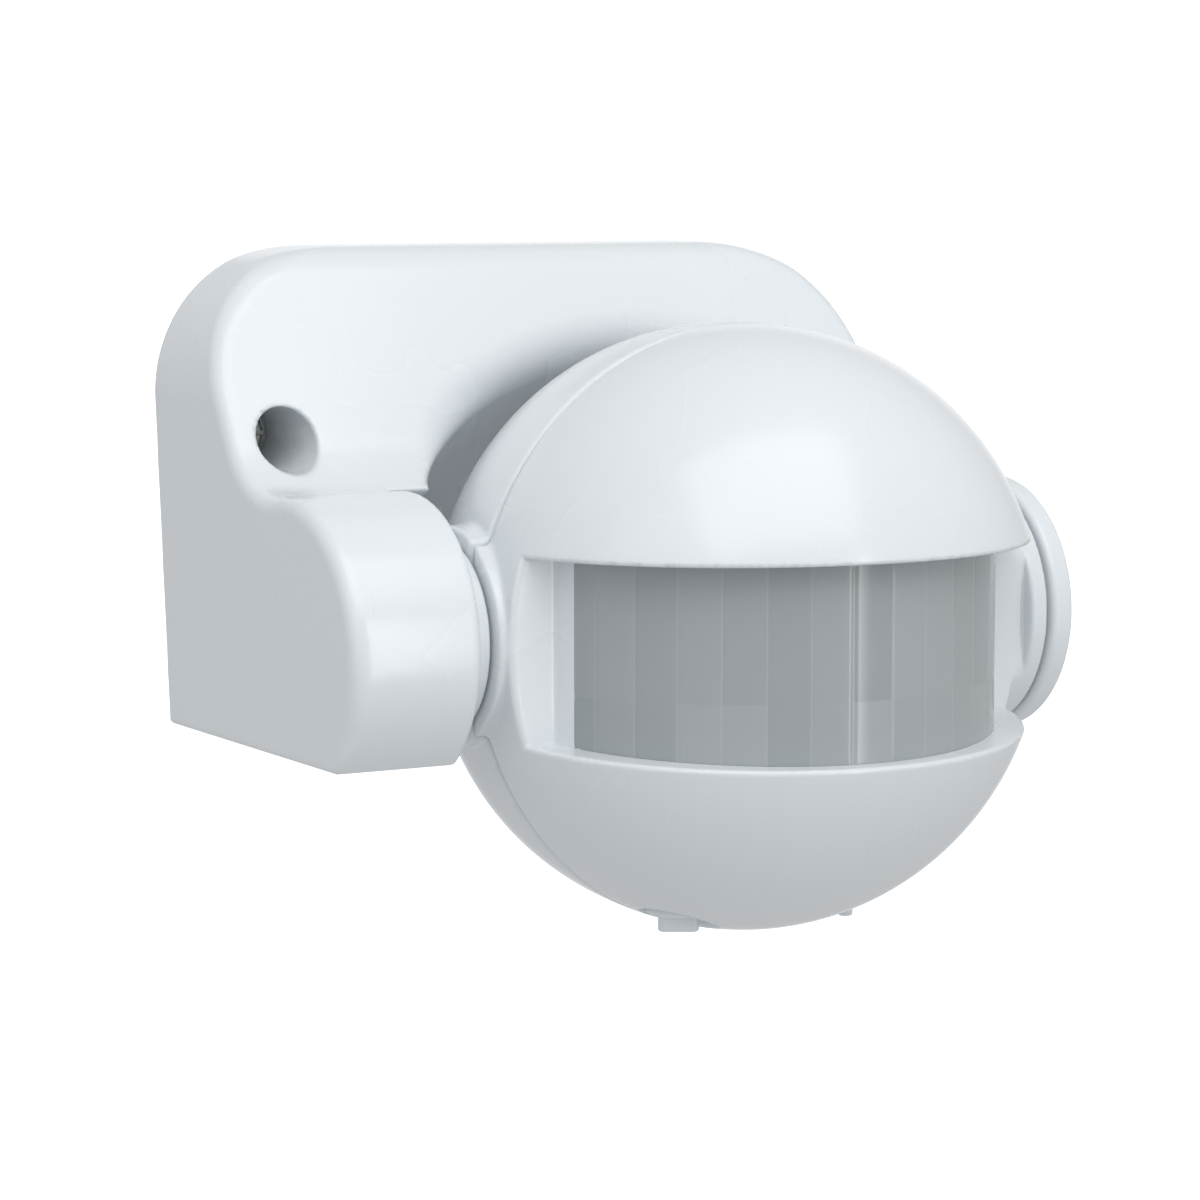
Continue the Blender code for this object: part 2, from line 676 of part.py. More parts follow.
def seam_gasket(parent):
    """A rubber cord that lies in the hollow just inside the parting line."""
    outer = prism_mesh("seam_gasket", gasket_outline(1.0), SEAM_Y - 0.7, SEAM_Y + 0.7, "Y")
    gasket = add_object("seam_gasket", outer, black_rubber(), parent)
    inner = prism_mesh("gasket_middle", gasket_outline(2.1), SEAM_Y - 3, SEAM_Y + 3, "Y")
    return cut(gasket, cutter("gasket_middle", inner, parent))


def fresnel_lens(parent):
    outline = lens_sector(LENS_RADIUS, LENS_RADIUS - LENS_THICKNESS, LENS_HALF_CHORD - GAP)
    return add_object("fresnel_lens", sloped_mesh("fresnel_lens", outline, GAP, -GAP), milky_lens(), parent)


def lens_frame(parent):
    """A curved frame behind the lens that holds it against the cheeks."""
    outline = lens_sector(LENS_RADIUS - LENS_THICKNESS - GAP, LENS_RADIUS - 3.0, 25.4)
    frame = add_object("lens_frame", sloped_mesh("lens_frame", outline, GAP, -GAP), nylon(), parent)
    rim = 1.9
    side = 22.5
    view = [(-side, -60), (-side, CHEEK_Y + 6), (side, CHEEK_Y + 6), (side, -60)]
    return cut(frame, cutter("frame_view", sloped_mesh("frame_view", view, rim, -rim), parent))


def circuit_board(parent):
    """A board that narrows below, to pass between the lower screw posts."""
    foot, shoulder, top = -21.5, -13.4, 18.2
    side = BOARD_HALF_WIDTH
    back = BOARD_FRONT + BOARD_THICKNESS
    outline = [(-14, foot), (14, foot), (14, shoulder), (side, shoulder)]
    outline += [(side, top), (-side, top), (-side, shoulder), (-14, shoulder)]
    mesh = prism_mesh("circuit_board", outline, BOARD_FRONT, back, "Y")
    board = add_object("circuit_board", mesh, green_board(), parent)
    for i, (x, z) in enumerate(BOARD_POSTS):
        hole = rod_mesh("board_fixing", 1.3, -30, 30, "Y", (x, z), 12)
        cut(board, cutter(f"board_fixing_{i}", hole, parent))
        side = ("left", "right")[i]
        screw(f"board_screw_{side}", 0.8, 1.8, 1.1, 7.4, (x, back + GAP + 1.1, z), (0, -1, 0), parent)
    return board


def board_parts(parent):
    front = BOARD_FRONT - GAP
    back = BOARD_FRONT + BOARD_THICKNESS + GAP
    can = [(0, front), (4.7, front), (4.7, front - 0.5), (4.1, front - 0.5), (4.1, front - 4.2)]
    can += [(3.6, front - 4.6), (0, front - 4.6)]
    add_object("pir_element", lathe_mesh("pir_element", can, "Y", 24), zinc_steel(), parent)
    cell = rod_mesh("light_sensor", 2.4, front - 2.2, front, "Y", (10.5, -4.0), 16)
    add_object("light_sensor", cell, material("sensor_orange", (0.55, 0.16, 0.05), 0.4), parent)
    led = [(0, front), (1.7, front), (1.7, front - 0.8), (1.45, front - 0.8), (1.45, front - 3.2)]
    led += [(1.0, front - 4.2), (0, front - 4.6)]
    lamp = lathe_mesh("status_led", led, "Y", 16, (-10.5, -4.0))
    add_object("status_led", lamp, material("led_red", (0.6, 0.03, 0.02), 0.2), parent)
    relay = block_mesh("relay", (-17.5, back, -3.2), (1.5, back + 15.0, 11.8))
    add_object("relay", relay, material("relay_blue", (0.02, 0.13, 0.45), 0.4), parent)
    film = block_mesh("mains_capacitor", (-12, back, -15.0), (6.0, back + 10.0, -6.5))
    add_object("mains_capacitor", film, material("film_yellow", (0.62, 0.42, 0.04), 0.4), parent)
    can = [(0, back), (5.0, back), (5.0, back + 1.4), (4.7, back + 1.8), (5.0, back + 2.2)]
    can += [(5.0, back + 11.4), (4.6, back + 12.0), (0, back + 12.0)]
    sleeve = material("capacitor_sleeve", (0.03, 0.03, 0.06), 0.35)
    mesh = lathe_mesh("reservoir_capacitor", can, "Y", 20, (11, 5))
    add_object("reservoir_capacitor", mesh, sleeve, parent)


def setting_pots(parent):
    """Two potentiometers in front of the board, their shafts' holes opening downwards over the knobs."""
    body = material("pot_blue", (0.05, 0.16, 0.42), 0.45)
    for name, side in (("time_pot", -1), ("lux_pot", 1)):
        x = side * KNOB_X
        low = (x - POT_HALF, KNOB_Y - POT_HALF, POT_Z[0])
        high = (x + POT_HALF, BOARD_FRONT - GAP, POT_Z[1])
        pot = add_object(name, block_mesh(name, low, high), body, parent)
        hole = rod_mesh("pot_hole", 1.9, -40, -21.5, "Z", (x, KNOB_Y), 16)
        cut(pot, cutter(name + "_hole", hole, parent))


def setting_knob(name, side, turn, parent):
    """A round disc with a raised blade to grip, on a shaft that enters its potentiometer."""
    profile = [(0, KNOB_DISC), (3.2, KNOB_DISC), (KNOB_RADIUS, KNOB_DISC + 0.4), (KNOB_RADIUS, -29.6)]
    profile += [(1.5, -29.6), (1.5, -22.2), (0, -22.2)]
    place = (side * KNOB_X, KNOB_Y, 0)
    knob = add_object(name, lathe_mesh(name, profile, "Z", 24), white_housing(), parent, place)
    half = GRIP_LENGTH / 2
    end = GRIP_WIDTH / 2
    outline = arc((half - end, 0), end, -90, 90, 4) + arc((end - half, 0), end, 90, 270, 4)
    grip = cutter(name + "_grip", prism_mesh(name + "_grip", outline, KNOB_TIP, KNOB_DISC + 1, "Z"), knob)
    knob.rotation_euler = (0, 0, turn)
    return combine(knob, grip, "UNION")


def shell_screws(parent):
    names = ("shell_screw_top", "shell_screw_left", "shell_screw_right")
    for name, (x, z) in zip(names, POSTS):
        screw(name, 1.0, 2.4, 1.6, 15.0, (x, 3.0, z), (0, -1, 0), parent)


def pivot(parent):
    """The hub that carries the head in the barrel, with its spring washer and nut, and the plain end cap."""
    wall_in = BARREL_END - BASE_WALL - HEAD_X
    wall_out = BARREL_END - HEAD_X
    flange_in = wall_out + 1.0
    flat = BOSS_LEFT
    hub = [(HUB_BORE, wall_in - 5.2), (HUB_RADIUS - 0.4, wall_in - 5.2), (HUB_RADIUS, wall_in - 4.8)]
    hub += [(HUB_RADIUS, flange_in), (HUB_FLANGE - 0.4, flange_in), (HUB_FLANGE, flange_in + 0.4)]
    hub += [(HUB_FLANGE, flat - GAP), (HUB_SPIGOT, flat - GAP), (HUB_SPIGOT, flat + HEAD_WALL + GAP)]
    hub += [(SPIGOT_FLANGE, flat + HEAD_WALL + GAP), (SPIGOT_FLANGE, flat + HEAD_WALL + SPIGOT_DEPTH)]
    hub += [(HUB_BORE, flat + HEAD_WALL + SPIGOT_DEPTH)]
    add_object("pivot_hub", lathe_mesh("pivot_hub", hub, "X", 28), white_housing(), parent)

    inner, outer = HUB_RADIUS + GAP, 10.1
    spring = [(inner, wall_in - 1.2), (inner, wall_in - 0.7), (outer, wall_in - GAP), (outer, wall_in - 0.8)]
    add_object("spring_washer", lathe_mesh("spring_washer", spring, "X", 28), zinc_steel(), parent)
    nut_face = wall_in - 1.5
    nut = [(HUB_RADIUS + GAP, nut_face - 3.2), (outer - 0.5, nut_face - 3.2), (outer, nut_face - 2.7)]
    nut += [(outer, nut_face), (HUB_RADIUS + GAP, nut_face)]
    made = add_object("hub_nut", lathe_mesh("hub_nut", nut, "X", 28), nylon(), parent)
    for i in range(4):
        turn = math.pi / 2 * i + math.pi / 4
        place = (outer * math.cos(turn), outer * math.sin(turn))
        notch = rod_mesh("nut_notch", 1.5, nut_face - 6, nut_face + 3, "X", place, 10)
        cut(made, cutter(f"nut_notch_{i}", notch, parent))

    cap_face = BOSS_RIGHT + GAP + 0.2
    cap_end = cap_face + END_CAP_THICKNESS
    wall = BOSS_RIGHT - HEAD_WALL
    cap = [(0, wall - SPIGOT_DEPTH), (SPIGOT_FLANGE, wall - SPIGOT_DEPTH), (SPIGOT_FLANGE, wall - GAP)]
    cap += [(HUB_SPIGOT, wall - GAP), (HUB_SPIGOT, cap_face), (END_CAP_RADIUS - 0.4, cap_face)]
    cap += [(END_CAP_RADIUS, cap_face + 0.5), (END_CAP_RADIUS, cap_end - 1.3)]
    cap += [(END_CAP_RADIUS - 0.4, cap_end - 0.4), (END_CAP_RADIUS - 1.3, cap_end), (0, cap_end)]
    add_object("end_cap", lathe_mesh("end_cap", cap, "X", 32), white_housing(), parent)


def friction_parts():
    """The washer and the seal between the barrel's face and the hub's flange; they stay with the base."""
    low = BARREL_END + 0.2
    high = BARREL_END + 1.0 - 0.2
    washer = [(9.6, low), (10.6, low), (10.6, high), (9.6, high)]
    mesh = lathe_mesh("friction_washer", washer, "X", 32, (AXIS_Y, AXIS_Z))
    add_object("friction_washer", mesh, nylon())
    ring = arc((8.8, (low + high) / 2), 0.3, 0, 300, 5)
    mesh = lathe_mesh("hub_seal", ring, "X", 24, (AXIS_Y, AXIS_Z))
    add_object("hub_seal", mesh, black_rubber())


def head_lead(parent):
    start = LEAD_MEETING - HEAD_X
    route = [(start, 0, 0), (-38.0, 0, 0), (-32.0, 0, 0), (-27.0, 1.2, -1.0), (-24.0, 4.0, -4.0)]
    route += [(-21.0, 6.4, -6.8), (-16.5, 6.6, -9.5)]
    wire("head_lead", route, LEAD_RADIUS, grey_sheath(), parent)


def build():
    clear_scene()
    base_housing()
    back_plate()
    wall_seal()
    terminal_block()
    terminal_screws()
    screw("cover_screw", 1.5, 3.0, 1.9, 5.6, (ACCESS_X, -8.4, ACCESS_Z), (0, 1, 0))
    cable_grommet()
    base_wiring()
    friction_parts()

    axis = bpy.data.objects.new("tilt_axis", None)
    bpy.context.collection.objects.link(axis)
    axis.location = Vector((HEAD_X, AXIS_Y, AXIS_Z)) * MM
    head_front_shell(axis)
    head_rear_shell(axis)
    seam_gasket(axis)
    fresnel_lens(axis)
    lens_frame(axis)
    circuit_board(axis)
    board_parts(axis)
    setting_pots(axis)
    shell_screws(axis)
    pivot(axis)
    head_lead(axis)
    setting_knob("time_knob", -1, TIME_KNOB_TURN, axis)
    setting_knob("lux_knob", 1, LUX_KNOB_TURN, axis)


build()
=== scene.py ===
"""Looks of a wall-mounted motion sensor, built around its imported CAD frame.

The visible mouldings are rebuilt from the frame's own sizes as signed distance fields, so that every edge
has the small radius of an injection-moulded part. Lengths are millimetres until a mesh is made. The wall is
the plane y = 0, the sensor looks along -Y and +Z is up.
"""

import json
import math

import bmesh
import bpy
import numpy as np
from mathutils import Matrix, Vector


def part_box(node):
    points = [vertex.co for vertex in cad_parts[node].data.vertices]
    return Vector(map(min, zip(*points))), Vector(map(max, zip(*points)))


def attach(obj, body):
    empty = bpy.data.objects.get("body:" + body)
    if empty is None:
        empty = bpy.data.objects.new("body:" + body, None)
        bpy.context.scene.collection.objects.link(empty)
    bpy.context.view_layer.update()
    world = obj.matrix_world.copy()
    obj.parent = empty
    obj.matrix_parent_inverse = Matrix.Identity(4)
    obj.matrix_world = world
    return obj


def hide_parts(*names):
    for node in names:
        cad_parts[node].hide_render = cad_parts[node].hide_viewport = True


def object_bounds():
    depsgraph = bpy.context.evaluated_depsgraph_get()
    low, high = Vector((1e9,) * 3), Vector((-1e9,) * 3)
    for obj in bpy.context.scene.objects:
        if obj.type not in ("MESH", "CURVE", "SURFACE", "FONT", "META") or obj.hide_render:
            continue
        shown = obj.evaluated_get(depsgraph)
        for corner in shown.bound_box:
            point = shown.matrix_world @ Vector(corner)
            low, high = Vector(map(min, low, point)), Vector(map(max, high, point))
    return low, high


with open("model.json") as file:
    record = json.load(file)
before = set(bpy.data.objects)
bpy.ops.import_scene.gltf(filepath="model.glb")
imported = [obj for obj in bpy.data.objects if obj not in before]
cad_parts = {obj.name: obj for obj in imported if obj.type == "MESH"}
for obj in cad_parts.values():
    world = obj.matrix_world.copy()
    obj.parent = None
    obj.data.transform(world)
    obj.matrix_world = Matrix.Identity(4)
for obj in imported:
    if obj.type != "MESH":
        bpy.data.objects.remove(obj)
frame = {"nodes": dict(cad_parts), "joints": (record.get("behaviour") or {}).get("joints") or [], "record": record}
CAD_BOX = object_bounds()

MM = 0.001
JOINTS = {joint["name"]: joint for joint in frame["joints"]}
SLOTS = {entry["slot"]: entry for entry in frame["record"]["materials"]}


def node_box(name):
    """Lowest and highest corners of a CAD node, in millimetres."""
    low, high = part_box(name)
    return low / MM, high / MM


BASE_LOW, BASE_HIGH = node_box("base_housing")
FRONT_LOW, FRONT_HIGH = node_box("head_front_shell")
REAR_LOW, REAR_HIGH = node_box("head_rear_shell")
LENS_LOW, LENS_HIGH = node_box("fresnel_lens")
CAP_LOW, CAP_HIGH = node_box("end_cap")
HUB_LOW, HUB_HIGH = node_box("pivot_hub")
KNOB_LOW, KNOB_HIGH = node_box("time_knob")
PLATE_LOW, PLATE_HIGH = node_box("back_plate")
AXIS_X, AXIS_Y, AXIS_Z = (value / MM for value in JOINTS["head_tilt"]["pos_m"])

GAP = 0.3
WALL = 2.2

# Base
BASE_CORNER = 16.7
BASE_DRAFT = 0.037
SLOPE_ANGLE = math.radians(63.8)
SLOPE_FOOT = (-20.35, 6.9)
FILLET = 10.6
BARREL_RADIUS = 16.2
BARREL_END = -27.1
BROW_ROUND = 6.0  # edge between the slope and the top
SIDE_ROUND = 1.8  # edge between the front and the sides
FOOT_ROUND = 0.6  # edges of the flat bottom
DISH_HALF_WIDTH = 37.8
DISH_RADIUS = 35.6
DISH_NECK = 16.8
DISH_FLOOR = -5.3
DISH_ROUND = 4.5  # edge between the slope and the dish
RIM_ROUND = 0.7  # edge of the barrel's inner face
ACCESS_X = -35.9
ACCESS_Z = 6.4
ACCESS_RADIUS = 3.65
ACCESS_FLOOR = -6.2
HUB_HOLE = 7.7
HOOKS_Z = (6.0, -18.0)  # the two hooks of the back plate, at the right
HOOK_HALF = 4.4
HOOK_START = 30

# Head
HEAD_HALF_WIDTH = 34.2
HEAD_HALF_HEIGHT = 34.3
HEAD_DROP = 0.3
SEAM_Y = (FRONT_HIGH.y + REAR_LOW.y) / 2
SEAM_GAP = REAR_LOW.y - FRONT_HIGH.y
FRONT_SEAM_ROUND = 0.9  # the groove along the seam is the round of both shells
REAR_SEAM_ROUND = 0.6
DOME_DEPTH = SEAM_Y - FRONT_LOW.y
DOME_FULLNESS = 2.08
REAR_DEPTH = REAR_HIGH.y - SEAM_Y
REAR_FULLNESS = 2.6
LEFT_BOSS_RADIUS = 12.2
RIGHT_BOSS_RADIUS = 14.6
END_HOLE = 7.45
VISOR_Z = LENS_HIGH.z + GAP
LEDGE_Z = -27.2
LEDGE_RISE = 0.06
WINDOW_WALL = 1.8
WINDOW_ROUND = 0.5
CHEEK_Y = -47.0
CHEEK_RIGHT = 45.2  # where the right cheek stops against the boss
LENS_RADIUS = 28.8
LENS_CENTRE_Y = LENS_LOW.y + LENS_RADIUS
LENS_HALF_CHORD = 26.65
LENS_THICKNESS = 1.0
LENS_GAP = 0.02
LENS_TUCK = 0.5  # how far each end of the lens reaches behind the cheek's step
POSTS = ((0.0, 24.4), (-18.4, -17.6), (18.4, -17.6))
BOARD_POSTS = ((-18.5, 14.5), (18.5, 14.5))
BOARD_FRONT = -39.9
KNOB_X = 11.0
KNOB_Y = -44.6
KNOB_RADIUS = 3.6
KNOB_DISC = -46.2  # underside of the disc that carries the grip
KNOB_TOP = AXIS_Z - 29.6
KNOB_TURNS = {"time_knob": math.radians(-29), "lux_knob": math.radians(61)}

# Fresnel lens
SEGMENT = 9.6  # degrees between the upright lines of the lens
SEGMENT_START = -63.8
GROOVE_DEPTH = 0.08
GROOVE_HALF_WIDTH = 0.55  # degrees
TIER_Z = -20.2  # lower edge of the main row of facets
TIER_DEPTH = 0.06
TIER_HALF_WIDTH = 0.6

CELL = 0.45  # spacing of the distance fields' grids
KNOB_CELL = 0.2


# ---------------------------------------------------------------- distance fields


def arc(centre, radius, start, end, steps):
    """Points on a circle from one angle to another, in degrees, both ends included."""
    turns = [math.radians(start + (end - start) * i / steps) for i in range(steps + 1)]
    return [(centre[0] + radius * math.cos(t), centre[1] + radius * math.sin(t)) for t in turns]


def outline_distance(u, v, outline):
    """Signed distance of points (u, v) from a closed outline, negative inside."""
    nearest = np.full(np.broadcast(u, v).shape, 1e12)
    inside = np.zeros(nearest.shape, bool)
    for (u0, v0), (u1, v1) in zip(outline, outline[1:] + outline[:1]):
        du, dv = u1 - u0, v1 - v0
        share = np.clip(((u - u0) * du + (v - v0) * dv) / max(du * du + dv * dv, 1e-12), 0, 1)
        nearest = np.minimum(nearest, (u - u0 - share * du) ** 2 + (v - v0 - share * dv) ** 2)
        if dv:
            inside ^= ((v0 > v) != (v1 > v)) & (u < u0 + (v - v0) * du / dv)
    return np.where(inside, -1, 1) * np.sqrt(nearest)


class Outline:
    """The distance field of a flat outline, tabulated once and read between its samples."""

    def __init__(self, outline, step=0.2, margin=6.0):
        corners = np.array(outline)
        self.low = corners.min(axis=0) - margin
        self.step = step
        count = np.ceil((corners.max(axis=0) + margin - self.low) / step).astype(int) + 1
        u = self.low[0] + step * np.arange(count[0])[:, None]
        v = self.low[1] + step * np.arange(count[1])[None, :]
        self.table = outline_distance(u, v, outline)

    def __call__(self, u, v):
        u, v = np.broadcast_arrays(u, v)
        size = self.table.shape
        across = np.clip((u - self.low[0]) / self.step, 0, size[0] - 1.001)
        along = np.clip((v - self.low[1]) / self.step, 0, size[1] - 1.001)
        i, j = across.astype(int), along.astype(int)
        p, q = across - i, along - j
        near = self.table[i, j] * (1 - q) + self.table[i, j + 1] * q
        far = self.table[i + 1, j] * (1 - q) + self.table[i + 1, j + 1] * q
        return near * (1 - p) + far * p


def both(a, b, radius=0.0):
    """What two fields share; its edge is rounded."""
    if not np.any(radius):
        return np.maximum(a, b)
    corner = np.hypot(np.maximum(a + radius, 0), np.maximum(b + radius, 0))
    return np.minimum(np.maximum(a, b), -radius) + corner


def either(a, b, radius=0.0):
    """Both fields together; the corner between them is filled."""
    return -both(-a, -b, radius)


def without(a, b, radius=0.0):
    return both(a, -b, radius)


def box_field(x, y, z, low, high):
    sides = [np.maximum(low[k] - p, p - high[k]) for k, p in enumerate((x, y, z))]
    return np.maximum(np.maximum(sides[0], sides[1]), sides[2])


def smooth_step(value, low, high):
    share = np.clip((value - low) / (high - low), 0, 1)
    return share * share * (3 - 2 * share)


def gradient(field, points, reach=0.12):
    slope = np.empty_like(points)
    for k in range(3):
        step = np.zeros(3)
        step[k] = reach
        ahead, behind = points + step, points - step
        slope[:, k] = (field(*ahead.T) - field(*behind.T)) / (2 * reach)
    return slope


def settle(field, points):
    """Moves points along the field's slope onto its surface."""
    slope = gradient(field, points)
    steep = np.maximum((slope**2).sum(axis=1), 0.25)
    move = slope * (field(*points.T) / steep)[:, None]
    return points - np.clip(move, -CELL, CELL)


def cell_faces(inside, number, axis):
    """The four-sided faces across one axis, each between the cells around an edge that changes sides."""
    size = number.shape
    u, v = (axis + 1) % 3, (axis + 2) % 3
    ahead = np.take(inside, range(1, size[axis] + 1), axis)
    behind = np.take(inside, range(size[axis]), axis)
    edges = np.argwhere(ahead != behind)
    for side in (u, v):
        edges = edges[(edges[:, side] > 0) & (edges[:, side] < size[side])]
    around = []
    for back_u, back_v in ((0, 0), (1, 0), (1, 1), (0, 1)):
        cell = edges.copy()
        cell[:, u] -= back_u
        cell[:, v] -= back_v
        around.append(number[tuple(cell.T)])
    quads = np.stack(around, axis=1)
    outward_already = behind[tuple(edges.T)]
    quads[~outward_already] = quads[~outward_already][:, ::-1]
    return quads


def relaxed(field, points, faces):
    """Evens out the points by moving each one towards its neighbours and back onto the surface."""
    ends = np.concatenate([faces[:, [k, (k + 1) % 4]] for k in range(4)])
    count = np.bincount(ends[:, 0], minlength=len(points))[:, None]
    for _ in range(3):
        sums = [np.bincount(ends[:, 0], points[ends[:, 1], k], len(points)) for k in range(3)]
        total = np.stack(sums, axis=1)
        points = settle(field, (points + total / np.maximum(count, 1)) / 2)
    return settle(field, points)


def surface_of(field, low, high, step=CELL):
    """Points and faces of a field's surface: one point in each cell that the surface crosses."""
    axes = [np.arange(low[k] - 1.37 * step, high[k] + 2 * step, step) for k in range(3)]
    value = field(axes[0][:, None, None], axes[1][None, :, None], axes[2][None, None, :])
    inside = np.broadcast_to(value, [len(a) for a in axes]) < 0
    size = [len(a) - 1 for a in axes]
    corners = np.zeros(size, int)
    for i, j, k in np.ndindex(2, 2, 2):
        corners += inside[i : i + size[0], j : j + size[1], k : k + size[2]]
    crossed = (corners > 0) & (corners < 8)
    number = np.full(size, -1)
    number[crossed] = np.arange(crossed.sum())
    cells = np.argwhere(crossed)
    points = np.stack([axes[k][cells[:, k]] + step / 2 for k in range(3)], axis=1)
    faces = np.concatenate([cell_faces(inside, number, axis) for axis in range(3)])
    return relaxed(field, points, faces), faces


def moulding(name, field, low, high, body, nodes, step=CELL):
    """A white piece from a distance field, with the field's own slope as its shading normals."""
    points, faces = surface_of(field, low, high, step)
    mesh = bpy.data.meshes.new(name)
    mesh.from_pydata((points * MM).tolist(), [], faces.tolist())
    mesh.validate()
    mesh.shade_smooth()
    slope = gradient(field, points, 0.25)
    slope /= np.maximum(np.linalg.norm(slope, axis=1), 1e-9)[:, None]
    mesh.normals_split_custom_set_from_vertices(slope.tolist())
    return finished(name, mesh, body, "white_housing", nodes)


def finished(name, mesh, body, slot, nodes):
    """Links a mesh as a piece that rides on a body and stands for some CAD nodes."""
    obj = bpy.data.objects.new(name, mesh)
    bpy.context.scene.collection.objects.link(obj)
    mesh.materials.append(surface_for(slot))
    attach(obj, body)
    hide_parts(*nodes)
    return obj


def revolved(name, profile, sides, nodes):
    """A white piece of the head: (radius, x) points turned about the tilt axis."""
    points = []
    rings = []
    for radius, along in profile:
        count = sides if radius else 1
        start = len(points)
        for i in range(count):
            angle = math.tau * i / sides
            across, up = radius * math.cos(angle), radius * math.sin(angle)
            points.append((along, AXIS_Y + across, AXIS_Z + up))
        rings.append([start + i % count for i in range(sides)])
    if profile[0][0]:
        rings.append(rings[0])
    faces = []
    for lower, upper in zip(rings, rings[1:]):
        for i in range(sides):
            j = (i + 1) % sides
            corners = list(dict.fromkeys((lower[i], lower[j], upper[j], upper[i])))
            if len(corners) > 2:
                faces.append(corners)
    mesh = bpy.data.meshes.new(name)
    mesh.from_pydata([Vector(point) * MM for point in points], [], faces)
    outward(mesh)
    mesh.shade_smooth()
    mesh.set_sharp_from_angle(angle=math.radians(40))
    return finished(name, mesh, "head", "white_housing", nodes)


def outward(mesh):
    """Turns every face to look out of a closed mesh."""
    shape = bmesh.new()
    shape.from_mesh(mesh)
    bmesh.ops.recalc_face_normals(shape, faces=shape.faces)
    shape.to_mesh(mesh)
    shape.free()


# ---------------------------------------------------------------- materials


class Nodes:
    """A short way to write a node tree."""

    def __init__(self, name):
        self.material = bpy.data.materials.new(name)
        self.material.use_nodes = True
        self.tree = self.material.node_tree
        self.shader = self.tree.nodes["Principled BSDF"]
        self.place = self.add("ShaderNodeTexCoord").outputs["Object"]

    def add(self, kind, **settings):
        node = self.tree.nodes.new(kind)
        for key, value in settings.items():
            setattr(node, key, value)
        return node

    def feed(self, socket, value):
        if isinstance(value, bpy.types.NodeSocket):
            self.tree.links.new(value, socket)
        else:
            socket.default_value = value

    def noise(self, scale, detail=2.0, roughness=0.5, place=None):
        node = self.add("ShaderNodeTexNoise")
        self.feed(node.inputs["Vector"], place or self.place)
        node.inputs["Scale"].default_value = scale
        node.inputs["Detail"].default_value = detail
        node.inputs["Roughness"].default_value = roughness
        return node.outputs["Fac"]

    def between(self, value, low, high, start=0.3, end=0.7):
        node = self.add("ShaderNodeMapRange")
        self.feed(node.inputs["Value"], value)
        node.inputs["From Min"].default_value = start
        node.inputs["From Max"].default_value = end
        node.inputs["To Min"].default_value = low
        node.inputs["To Max"].default_value = high
        return node.outputs["Result"]

    def maths(self, operation, a, b=0.0):
        node = self.add("ShaderNodeMath", operation=operation)
        self.feed(node.inputs[0], a)
        self.feed(node.inputs[1], b)
        return node.outputs["Value"]

    def blend(self, factor, a, b):
        node = self.add("ShaderNodeMix", data_type="RGBA")
        self.feed(node.inputs["Factor"], factor)
        self.feed(node.inputs[6], (*a, 1) if isinstance(a, tuple) else a)
        self.feed(node.inputs[7], (*b, 1) if isinstance(b, tuple) else b)
        return node.outputs[2]

    def bump(self, height, depth, after=None):
        """Raises the surface by height times depth, in millimetres."""
        node = self.add("ShaderNodeBump")
        self.feed(node.inputs["Height"], height)
        node.inputs["Distance"].default_value = depth * MM
        node.inputs["Strength"].default_value = 1.0
        if after:
            self.feed(node.inputs["Normal"], after)
        return node.outputs["Normal"]

    def stretched(self, x, y, z):
        node = self.add("ShaderNodeMapping")
        self.feed(node.inputs["Vector"], self.place)
        node.inputs["Scale"].default_value = (x, y, z)
        return node.outputs["Vector"]

    def done(self, colour, roughness, normal=None, **sockets):
        self.feed(self.shader.inputs["Base Color"], colour)
        self.feed(self.shader.inputs["Roughness"], roughness)
        if normal:
            self.feed(self.shader.inputs["Normal"], normal)
        for key, value in sockets.items():
            self.shader.inputs[key.replace("_", " ")].default_value = value
        return self.material


def shade(colour, factor):
    return tuple(channel * factor for channel in colour)


def moulded(name, colour, roughness, grain=0.004, variation=0.03, **sockets):
    """Injection-moulded plastic: a slow drift of tone and gloss, and a fine spark-eroded grain."""
    nodes = Nodes(name)
    flow = nodes.noise(38.0, 3.0)
    base = nodes.blend(nodes.between(flow, 0, 1), shade(colour, 1 - variation), shade(colour, 1 + variation))
    gloss = nodes.noise(60.0, 2.0, 0.6)
    uneven = nodes.between(gloss, roughness * 0.95, roughness * 1.05)
    fine = nodes.bump(nodes.noise(1500.0, 2.0, 0.6), grain)
    normal = nodes.bump(nodes.noise(60.0, 1.0), 0.0008, fine)
    return nodes.done(base, uneven, normal, **sockets)


def white_housing(name):
    return moulded(name, (0.772, 0.806, 0.832), 0.27, 0.0002, 0.004, Coat_Weight=0.30, Coat_Roughness=0.12)


